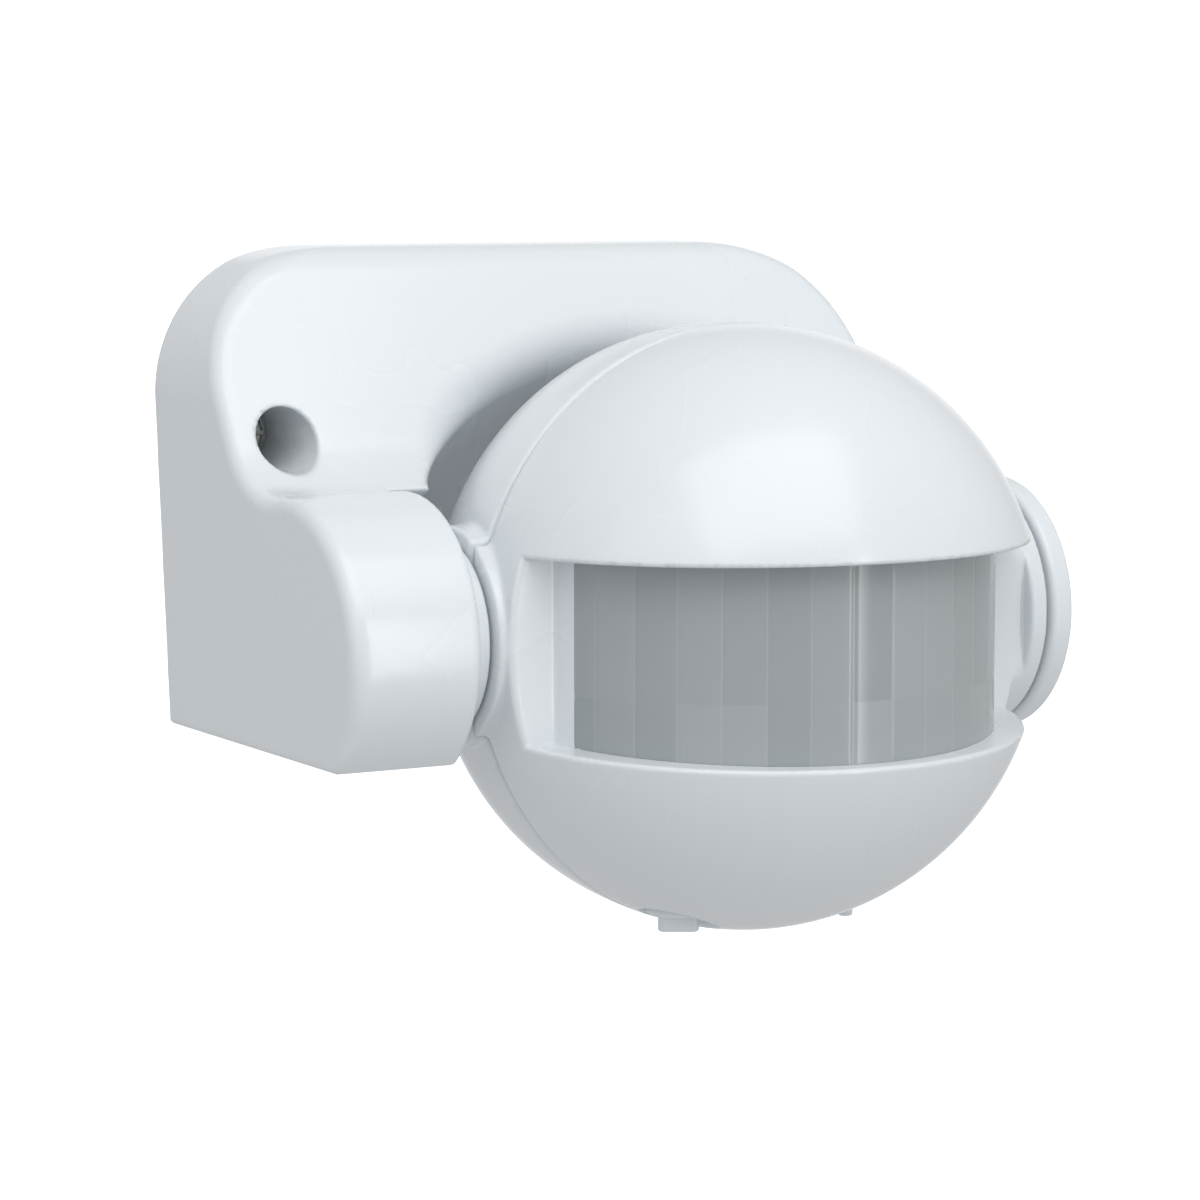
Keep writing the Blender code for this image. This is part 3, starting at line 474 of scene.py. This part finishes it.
def milky_lens(name):
    """Translucent polyethylene: upright facets that differ a little in tone, with fine curved grooves."""
    nodes = Nodes(name)
    apart = nodes.add("ShaderNodeSeparateXYZ")
    nodes.feed(apart.inputs["Vector"], nodes.place)
    across = nodes.maths("SUBTRACT", apart.outputs["X"], AXIS_X * MM)
    ahead = nodes.maths("SUBTRACT", LENS_CENTRE_Y * MM, apart.outputs["Y"])
    turn = nodes.maths("MULTIPLY", nodes.maths("ARCTAN2", across, ahead), 180 / math.pi)
    facet = nodes.maths("DIVIDE", nodes.maths("SUBTRACT", turn, SEGMENT_START), SEGMENT)
    tier = nodes.maths("GREATER_THAN", apart.outputs["Z"], TIER_Z * MM)
    seed = nodes.maths("ADD", nodes.maths("FLOOR", facet), nodes.maths("MULTIPLY", tier, 7.3))
    scatter = nodes.add("ShaderNodeTexWhiteNoise", noise_dimensions="1D")
    nodes.feed(scatter.inputs["W"], seed)
    tone = nodes.blend(scatter.outputs["Value"], (0.345, 0.373, 0.385), (0.400, 0.427, 0.445))
    cloud = nodes.between(nodes.noise(55.0, 3.0), 0, 0.30)
    tone = nodes.blend(cloud, tone, (0.415, 0.448, 0.446))
    within = nodes.maths("ABSOLUTE", nodes.maths("SUBTRACT", nodes.maths("FRACT", facet), 0.5))
    line = nodes.between(within, 0, 0.5, 0.470, 0.5)
    tone = nodes.blend(line, tone, (0.48, 0.51, 0.53))
    rings = nodes.add("ShaderNodeTexWave", wave_type="RINGS", rings_direction="Z")
    nodes.feed(rings.inputs["Vector"], nodes.stretched(1.0, 1.0, 0.4))
    rings.inputs["Scale"].default_value = 900.0
    fine = nodes.bump(rings.outputs["Fac"], 0.002)
    normal = nodes.bump(nodes.noise(1500.0, 2.0), 0.0008, fine)
    rough = nodes.between(nodes.noise(160.0, 3.0), 0.13, 0.17)
    made = nodes.done(tone, rough, normal, Subsurface_Weight=0.25, Subsurface_Scale=0.001)
    nodes.shader.inputs["Subsurface Radius"].default_value = (1.0, 1.0, 1.0)
    return made


def rubber(name):
    nodes = Nodes(name)
    bloom = nodes.between(nodes.noise(220.0, 4.0, 0.65), 0, 1)
    tone = nodes.blend(bloom, (0.020, 0.020, 0.021), (0.045, 0.045, 0.046))
    normal = nodes.bump(nodes.noise(2400.0, 3.0), 0.02)
    return nodes.done(tone, nodes.between(bloom, 0.62, 0.82, 0, 1), normal)


def zinc(name):
    """Bright zinc plating with fine turning marks and a faint warm passivation."""
    nodes = Nodes(name)
    drift = nodes.between(nodes.noise(300.0, 3.0), 0, 1)
    tone = nodes.blend(drift, (0.60, 0.60, 0.58), (0.68, 0.66, 0.58))
    marks = nodes.noise(2600.0, 2.0, 0.5, nodes.stretched(0.25, 1.0, 1.0))
    normal = nodes.bump(marks, 0.006)
    return nodes.done(tone, nodes.between(marks, 0.24, 0.42), normal, Metallic=1.0)


def board(name):
    """Green solder mask over raised tracks, with tinned pads."""
    nodes = Nodes(name)
    tracks = nodes.add("ShaderNodeTexVoronoi", feature="DISTANCE_TO_EDGE")
    nodes.feed(tracks.inputs["Vector"], nodes.place)
    tracks.inputs["Scale"].default_value = 230.0
    track = nodes.between(tracks.outputs["Distance"], 1, 0, 0.05, 0.09)
    pads = nodes.add("ShaderNodeTexVoronoi", feature="F1")
    nodes.feed(pads.inputs["Vector"], nodes.place)
    pads.inputs["Scale"].default_value = 300.0
    pad = nodes.between(pads.outputs["Distance"], 1, 0, 0.17, 0.20)
    tone = nodes.blend(track, (0.012, 0.10, 0.035), (0.03, 0.20, 0.07))
    tone = nodes.blend(pad, tone, (0.55, 0.55, 0.52))
    normal = nodes.bump(nodes.maths("MAXIMUM", track, pad), 0.04)
    return nodes.done(tone, nodes.between(nodes.noise(500.0), 0.25, 0.4), normal)


PLASTICS = {
    "white_nylon": ((0.68, 0.68, 0.64), 0.48),
    "black_plastic": ((0.035, 0.035, 0.038), 0.45),
    "blue_plastic": ((0.03, 0.14, 0.43), 0.38),
    "yellow_film": ((0.60, 0.40, 0.05), 0.34),
    "dark_sleeve": ((0.03, 0.03, 0.06), 0.30),
    "orange_ceramic": ((0.50, 0.15, 0.05), 0.42),
    "red_lens": ((0.55, 0.03, 0.02), 0.16),
    "grey_sheath": ((0.33, 0.33, 0.34), 0.52),
    "brown_core": ((0.20, 0.07, 0.02), 0.42),
    "blue_core": ((0.02, 0.10, 0.42), 0.42),
    "red_core": ((0.45, 0.02, 0.02), 0.42),
}
SPECIAL = {
    "white_housing": white_housing,
    "milky_lens": milky_lens,
    "black_rubber": rubber,
    "zinc_steel": zinc,
    "green_board": board,
}
made_surfaces = {}


def surface_for(slot):
    """The procedural material of one of the record's slots."""
    if slot not in made_surfaces:
        if slot in SPECIAL:
            made_surfaces[slot] = SPECIAL[slot]("look_" + slot)
        else:
            colour, roughness = PLASTICS[slot]
            made_surfaces[slot] = moulded("look_" + slot, colour, roughness, 0.008, 0.05)
    return made_surfaces[slot]


def dress_frame():
    """Every CAD node takes the procedural material of its own slot."""
    for node in frame["nodes"].values():
        for holder in node.material_slots:
            name = holder.material.name.split(".")[0]
            if name in SLOTS:
                holder.link = "DATA"
                holder.material = surface_for(name)


# ---------------------------------------------------------------- base


def base_outline():
    """The base from the front, its straight sides carried on below the bottom."""
    half = BASE_HIGH.x
    corner_z = BASE_HIGH.z - BASE_CORNER
    below = BASE_LOW.z - 12
    foot = half - BASE_DRAFT * (corner_z - below)
    right = arc((half - BASE_CORNER, corner_z), BASE_CORNER, 0, 90, 48)
    left = arc((BASE_CORNER - half, corner_z), BASE_CORNER, 90, 180, 48)
    return [(-foot, below), (foot, below)] + right + left


def base_side():
    """The base from the side as (y, z), its back carried on behind the wall."""
    slope = Vector((-math.cos(SLOPE_ANGLE), -math.sin(SLOPE_ANGLE)))
    inward = Vector((math.sin(SLOPE_ANGLE), -math.cos(SLOPE_ANGLE)))
    foot = Vector(SLOPE_FOOT)
    middle = foot + inward * BROW_ROUND
    brow = middle + slope * ((BASE_HIGH.z - BROW_ROUND - middle[1]) / slope[1])
    slope_face = math.degrees(math.atan2(-inward[1], -inward[0]))
    axis = Vector((AXIS_Y, AXIS_Z))
    line = foot - inward * FILLET
    reach = FILLET + BARREL_RADIUS
    offset = line - axis
    along = -offset.dot(slope) - math.sqrt(offset.dot(slope) ** 2 - offset.length_squared + reach**2)
    centre = line + slope * along
    touch = axis - centre
    start = math.degrees(math.atan2(inward[1], inward[0]))
    end = math.degrees(math.atan2(touch[1], touch[0]))
    under = 180 + math.degrees(math.asin((AXIS_Z - BASE_LOW.z) / BARREL_RADIUS))
    points = [(12.0, BASE_HIGH.z)] + arc(brow, BROW_ROUND, 90, slope_face, 24)
    points += arc(centre, FILLET, start, end, 32)
    points += arc(axis, BARREL_RADIUS, end + 180, under, 70)[1:]
    return points + [(12.0, BASE_LOW.z)]


def dish_profile():
    """Half of the dish as (x, radius) about the tilt axis, mirrored so that it closes."""
    neck_x = AXIS_X - DISH_HALF_WIDTH * math.sqrt(1 - (DISH_NECK / DISH_RADIUS) ** 2)
    first = math.degrees(math.acos((neck_x - AXIS_X) / DISH_HALF_WIDTH))
    upper = [(BARREL_END, 0.0), (BARREL_END, DISH_NECK)]
    for i in range(81):
        turn = math.radians(first * (1 - i / 80))
        upper.append((AXIS_X + DISH_HALF_WIDTH * math.cos(turn), DISH_RADIUS * math.sin(turn)))
    return upper + [(x, -radius) for x, radius in reversed(upper[1:-1])]


def base_field():
    outline = Outline(base_outline())
    side = Outline(base_side())
    dish = Outline(dish_profile())

    def field(x, y, z):
        flat_top = smooth_step(z, 18.0, BASE_HIGH.z - 1) * (1 - smooth_step(np.abs(x), 24.0, 34.0))
        edge = SIDE_ROUND * (1 - 0.98 * flat_top)
        edge = edge - (SIDE_ROUND - FOOT_ROUND) * (1 - smooth_step(z, BASE_LOW.z + 0.5, BASE_LOW.z + 5))
        body = both(side(y, z), outline(x, z), edge)
        hollow_dish = both(dish(x, np.hypot(y - AXIS_Y, z - AXIS_Z)), y - DISH_FLOOR)
        rim = RIM_ROUND + (DISH_ROUND - RIM_ROUND) * smooth_step(z, 0.0, 12.0)
        outer = without(body, hollow_dish, rim)
        shell = without(outer, outer + WALL)
        around = np.hypot(x - ACCESS_X, z - ACCESS_Z)
        tube = both(around - ACCESS_RADIUS - 1.6, both(outer, y - PLATE_LOW.y + GAP))
        shell = either(shell, tube)
        shell = without(shell, both(around - ACCESS_RADIUS, y - ACCESS_FLOOR), 0.4)
        shell = without(shell, around - 1.9)
        hub = both(np.hypot(y - AXIS_Y, z - AXIS_Z) - HUB_HOLE, np.abs(x - BARREL_END) - 5)
        shell = without(shell, hub)
        for hook in HOOKS_Z:
            low = (HOOK_START, PLATE_LOW.y - 0.2, hook - HOOK_HALF)
            high = (PLATE_HIGH.x + GAP, -0.6, hook + HOOK_HALF)
            shell = without(shell, box_field(x, y, z, low, high))
        return both(shell, y, 0.4)

    return field


# ---------------------------------------------------------------- head


def head_field(x, y, z):
    """The closed outside of the whole head: a rounded body and the two bosses on the tilt axis."""
    across, up, deep = x - AXIS_X, z - AXIS_Z + HEAD_DROP, np.abs(y - SEAM_Y)
    round_off = np.hypot(across / HEAD_HALF_WIDTH, up / HEAD_HALF_HEIGHT)
    front = y < SEAM_Y
    power = np.where(front, DOME_FULLNESS, REAR_FULLNESS)
    depth = np.where(front, DOME_DEPTH, REAR_DEPTH)
    body = ((round_off**power + (deep / depth) ** power) ** (1 / power) - 1) * HEAD_HALF_HEIGHT
    around = np.hypot(y - AXIS_Y, z - AXIS_Z)
    left = both(around - LEFT_BOSS_RADIUS, np.maximum(FRONT_LOW.x - x, x - AXIS_X), 0.4)
    right = both(around - RIGHT_BOSS_RADIUS, np.maximum(x - FRONT_HIGH.x, AXIS_X - x), 0.4)
    return either(body, either(left, right), 0.5)


def window_outline():
    """What lies in front of the lens and the cheeks, from above."""
    edge = math.degrees(math.asin((LENS_CENTRE_Y - CHEEK_Y) / LENS_RADIUS))
    lens = arc((AXIS_X, LENS_CENTRE_Y), LENS_RADIUS, 180 + edge, 360 - edge, 120)
    return [(-60, -95), (-60, CHEEK_Y)] + lens + [(CHEEK_RIGHT, CHEEK_Y), (CHEEK_RIGHT, -95)]


def round_hole(x, z, place, radius):
    return np.hypot(x - AXIS_X - place[0], z - AXIS_Z - place[1]) - radius


def end_holes(x, y, z):
    around = np.hypot(y - AXIS_Y, z - AXIS_Z) - END_HOLE
    return both(around, 5 - np.abs(x - AXIS_X))


def front_shell_field():
    window = Outline(window_outline(), 0.25)

    def space(x, y, z):
        ledge = LEDGE_Z + LEDGE_RISE * (y - FRONT_LOW.y)
        return window(x, y), np.maximum(z - VISOR_Z, ledge - z)

    def field(x, y, z):
        outer = head_field(x, y, z)
        open_front, open_height = space(x, y, z)
        walls = np.maximum(open_front, open_height) - WINDOW_WALL
        shell = either(without(outer, outer + WALL), both(outer, walls))
        for place in POSTS:
            shell = either(shell, both(outer, round_hole(x, z, place, 3.0)), 0.3)
        for place in BOARD_POSTS:
            post = both(round_hole(x, z, place, 2.4), y - BOARD_FRONT + GAP)
            shell = either(shell, both(outer, post), 0.3)
        shell = np.maximum(shell, outer)
        shell = without(shell, both(open_front, open_height), WINDOW_ROUND)
        opening = both(np.abs(x - AXIS_X) - LENS_HALF_CHORD, both(open_height, y - CHEEK_Y - 6))
        shell = without(shell, opening)
        for place in POSTS:
            shell = without(shell, both(round_hole(x, z, place, 1.3), SEAM_Y - 12 - y))
        for place in BOARD_POSTS:
            shell = without(shell, both(round_hole(x, z, place, 1.1), BOARD_FRONT - 7 - y))
        for side in (-1, 1):
            well = np.hypot(x - AXIS_X - side * KNOB_X, y - KNOB_Y) - KNOB_RADIUS - 0.5
            shell = without(shell, both(well, z - AXIS_Z + 20), 0.35)
        shell = without(shell, end_holes(x, y, z))
        return both(shell, y - SEAM_Y + SEAM_GAP / 2, FRONT_SEAM_ROUND)

    return field


def rear_shell_field(x, y, z):
    outer = head_field(x, y, z)
    shell = without(outer, outer + WALL)
    for place in POSTS:
        shell = either(shell, both(outer, round_hole(x, z, place, 3.6)), 0.3)
    shell = np.maximum(shell, outer)
    for place in POSTS:
        counterbore = both(round_hole(x, z, place, 2.9), AXIS_Y + 1.0 - y)
        shell = without(shell, either(round_hole(x, z, place, 1.3), counterbore))
    shell = without(shell, end_holes(x, y, z))
    return both(shell, SEAM_Y + SEAM_GAP / 2 - y, REAR_SEAM_ROUND)


def lens_points(columns, rows):
    """Both sides of the lens, with a fine V groove between its facets and another along the lower row."""
    span = math.degrees(math.asin((LENS_HALF_CHORD + LENS_TUCK) / LENS_RADIUS))
    points = []
    for outer in (True, False):
        for i in range(columns + 1):
            turn = -span + 2 * span * i / columns
            facet = (turn - SEGMENT_START) / SEGMENT
            near = abs(facet - round(facet)) * SEGMENT
            for j in range(rows + 1):
                radius = LENS_RADIUS - (LENS_GAP if outer else LENS_THICKNESS)
                angle = math.radians(turn)
                y = LENS_CENTRE_Y - radius * math.cos(angle)
                low = LEDGE_Z + LEDGE_RISE * (y - FRONT_LOW.y) + LENS_GAP
                z = low + (VISOR_Z - LENS_GAP - low) * j / rows
                if outer and 0 < j < rows:
                    radius -= GROOVE_DEPTH * max(0.0, 1 - near / GROOVE_HALF_WIDTH)
                    radius -= TIER_DEPTH * max(0.0, 1 - abs(z - TIER_Z) / TIER_HALF_WIDTH)
                x = AXIS_X + radius * math.sin(angle)
                points.append((x, LENS_CENTRE_Y - radius * math.cos(angle), z))
    return points


def lens_faces(columns, rows):
    """The two sides of the lens and the four strips that join them."""

    def at(i, j, side):
        return side * (columns + 1) * (rows + 1) + i * (rows + 1) + j

    faces = []
    for i in range(columns):
        for j in range(rows):
            for side in (0, 1):
                faces.append((at(i, j, side), at(i + 1, j, side), at(i + 1, j + 1, side), at(i, j + 1, side)))
        for j in (0, rows):
            faces.append((at(i, j, 0), at(i + 1, j, 0), at(i + 1, j, 1), at(i, j, 1)))
    for i in (0, columns):
        for j in range(rows):
            faces.append((at(i, j, 0), at(i, j + 1, 0), at(i, j + 1, 1), at(i, j, 1)))
    return faces


def fresnel_lens():
    columns, rows = 340, 44
    points = [Vector(point) * MM for point in lens_points(columns, rows)]
    mesh = bpy.data.meshes.new("lens")
    mesh.from_pydata(points, [], lens_faces(columns, rows))
    outward(mesh)
    mesh.shade_smooth()
    mesh.set_sharp_from_angle(angle=math.radians(50))
    return finished("lens", mesh, "head", "milky_lens", ["fresnel_lens"])


def rounded(points, radius, steps=5):
    """An outline of (radius, along) points with every corner off the axis rounded."""
    made = []
    count = len(points)
    for i, point in enumerate(points):
        before, here, after = (Vector(points[(i + k) % count]) for k in (-1, 0, 1))
        if here[0] == 0:
            made.append(tuple(here))
            continue
        a, b = before - here, after - here
        size = min(radius, a.length / 2.2, b.length / 2.2)
        start, end = here + a.normalized() * size, here + b.normalized() * size
        for k in range(steps + 1):
            t = k / steps
            made.append(tuple(start * (1 - t) ** 2 + here * (2 * t * (1 - t)) + end * t**2))
    return made


def end_cap():
    """The plain round cap that closes the right end of the axis."""
    wall = FRONT_HIGH.x - WALL
    face = FRONT_HIGH.x + GAP + 0.2
    radius = CAP_HIGH.z - AXIS_Z
    profile = [(0, CAP_LOW.x), (9.3, CAP_LOW.x), (9.3, wall - GAP), (7.1, wall - GAP), (7.1, face)]
    profile += [(radius, face), (radius, CAP_HIGH.x), (0, CAP_HIGH.x)]
    return revolved("cap", rounded(profile, 0.9, 7), 144, ["end_cap"])


def hub():
    """The collar that shows between the barrel and the head."""
    flange = HUB_HIGH.z - AXIS_Z
    flat = FRONT_LOW.x
    start = BARREL_END + 1.0
    profile = [(5.0, HUB_LOW.x), (7.4, HUB_LOW.x), (7.4, start), (flange, start), (flange, flat - GAP)]
    profile += [(7.1, flat - GAP), (7.1, flat + WALL + GAP), (9.3, flat + WALL + GAP)]
    profile += [(9.3, HUB_HIGH.x), (5.0, HUB_HIGH.x)]
    return revolved("hub", rounded(profile, 0.3, 3), 120, ["pivot_hub"])


def knob_field(node, side):
    """A setting knob: a round disc and shaft with a raised blade to grip."""
    disc = KNOB_DISC
    place = (AXIS_X + side * KNOB_X, KNOB_Y)
    turn = KNOB_TURNS[node]
    tip = KNOB_LOW.z

    def field(x, y, z):
        across, along = x - place[0], y - place[1]
        around = np.hypot(across, along)
        body = both(around - KNOB_RADIUS, np.maximum(disc - z, z - KNOB_TOP), 0.4)
        shaft = both(around - 1.5, np.maximum(disc - z, z - KNOB_HIGH.z), 0.2)
        length = across * math.cos(turn) + along * math.sin(turn)
        width = along * math.cos(turn) - across * math.sin(turn)
        blade = np.hypot(np.maximum(np.abs(length) - 1.45, 0), width) - 0.85
        grip = both(blade, np.maximum(tip - z, z - disc - 1), 0.3)
        return either(either(body, shaft), grip, 0.25)

    return field


# ---------------------------------------------------------------- scene

VIEW_SIDE = math.radians(-29.28)  # of the camera from straight in front, towards the sensor's left
VIEW_HEIGHT = math.radians(6.436)
VIEW_DISTANCE = 456.54
VIEW_TARGET = Vector((3.026, -22.0, -13.435))
LENS_LENGTH = 118.03
SENSOR_WIDTH = 36.0
ROOM_DARK = 0.585
ROOM_BRIGHT = 1.05


def aimed(name, data, side, up, distance):
    """Places a camera or a light at an angle around the sensor and above it, facing the sensor."""
    away = Vector((math.sin(side) * math.cos(up), -math.cos(side) * math.cos(up), math.sin(up)))
    obj = bpy.data.objects.new(name, data)
    obj.location = (VIEW_TARGET + away * distance) * MM
    obj.rotation_mode = "QUATERNION"
    obj.rotation_quaternion = away.to_track_quat("Z", "Y")
    bpy.context.scene.collection.objects.link(obj)
    return obj


def camera():
    data = bpy.data.cameras.new("camera")
    data.lens = LENS_LENGTH
    data.sensor_width = SENSOR_WIDTH
    data.clip_start = 0.01
    bpy.context.scene.camera = aimed("camera", data, VIEW_SIDE, VIEW_HEIGHT, VIEW_DISTANCE)


def softbox(name, turn, height, distance, width, tall, power):
    """A rectangular light that faces the sensor from an angle around it and above it, in degrees."""
    data = bpy.data.lights.new(name, "AREA")
    data.shape = "RECTANGLE"
    data.size = width * MM
    data.size_y = tall * MM
    data.energy = power
    aimed(name, data, math.radians(turn), math.radians(height), distance)


def surroundings():
    """A pale grey room that is white straight behind the sensor, as the camera sees it."""
    world = bpy.data.worlds.new("studio")
    bpy.context.scene.world = world
    world.use_nodes = True
    nodes = world.node_tree.nodes
    links = world.node_tree.links
    place = nodes.new("ShaderNodeTexCoord")
    towards = nodes.new("ShaderNodeVectorMath")
    towards.operation = "DOT_PRODUCT"
    links.new(place.outputs["Generated"], towards.inputs[0])
    towards.inputs[1].default_value = (-math.sin(VIEW_SIDE), math.cos(VIEW_SIDE), 0)
    ramp = nodes.new("ShaderNodeMapRange")
    ramp.interpolation_type = "SMOOTHSTEP"
    ramp.inputs["From Min"].default_value = 0.90
    ramp.inputs["From Max"].default_value = 0.965
    ramp.inputs["To Min"].default_value = ROOM_DARK
    ramp.inputs["To Max"].default_value = ROOM_BRIGHT
    links.new(towards.outputs["Value"], ramp.inputs["Value"])
    light = nodes["Background"]
    light.inputs["Color"].default_value = (0.97, 0.985, 1.0, 1)
    links.new(ramp.outputs["Result"], light.inputs["Strength"])


def floor():
    """A wide pale floor well below the sensor, which glows towards the back like a lit paper sweep."""
    half = 6.0
    steps = 24
    points = []
    faces = []
    for i in range(steps + 1):
        for j in range(steps + 1):
            points.append((half * (2 * i / steps - 1), half * (2 * j / steps - 1), 0))
    for i in range(steps):
        for j in range(steps):
            corner = i * (steps + 1) + j
            faces.append((corner, corner + steps + 1, corner + steps + 2, corner + 1))
    mesh = bpy.data.meshes.new("floor")
    mesh.from_pydata(points, [], faces)
    nodes = Nodes("floor")
    tone = nodes.blend(nodes.noise(3.0, 3.0), (0.66, 0.67, 0.68), (0.70, 0.71, 0.72))
    away = nodes.add("ShaderNodeVectorMath", operation="DOT_PRODUCT")
    nodes.feed(away.inputs[0], nodes.place)
    away.inputs[1].default_value = (-math.sin(VIEW_SIDE), math.cos(VIEW_SIDE), 0)
    glow = nodes.between(away.outputs["Value"], 0, 0.85, 0.15, 0.60)
    nodes.feed(nodes.shader.inputs["Emission Color"], (1, 1, 1, 1))
    nodes.feed(nodes.shader.inputs["Emission Strength"], glow)
    mesh.materials.append(nodes.done(tone, 0.8, nodes.bump(nodes.noise(40.0), 0.5)))
    obj = bpy.data.objects.new("floor", mesh)
    obj.location = (0, 0, CAD_BOX[0].z - 0.20)
    bpy.context.scene.collection.objects.link(obj)
    obj.visible_diffuse = False
    obj.visible_glossy = False


def build():
    dress_frame()
    moulding("housing", base_field(), BASE_LOW, BASE_HIGH, "base", ["base_housing"])
    moulding("front_shell", front_shell_field(), FRONT_LOW, FRONT_HIGH, "head", ["head_front_shell"])
    moulding("rear_shell", rear_shell_field, REAR_LOW, REAR_HIGH, "head", ["head_rear_shell"])
    fresnel_lens()
    end_cap()
    hub()
    for node, side in (("time_knob", -1), ("lux_knob", 1)):
        low, high = node_box(node)
        moulding(node + "_grip", knob_field(node, side), low, high, node, [node], KNOB_CELL)
    camera()
    softbox("key", turn=-6, height=52, distance=620, width=640, tall=500, power=1.8)
    softbox("fill", turn=-52, height=28, distance=720, width=700, tall=500, power=0.52)
    softbox("streak", turn=22, height=0, distance=700, width=24, tall=560, power=0.50)
    surroundings()
    floor()
    bpy.context.scene.view_settings.view_transform = "Standard"


build()
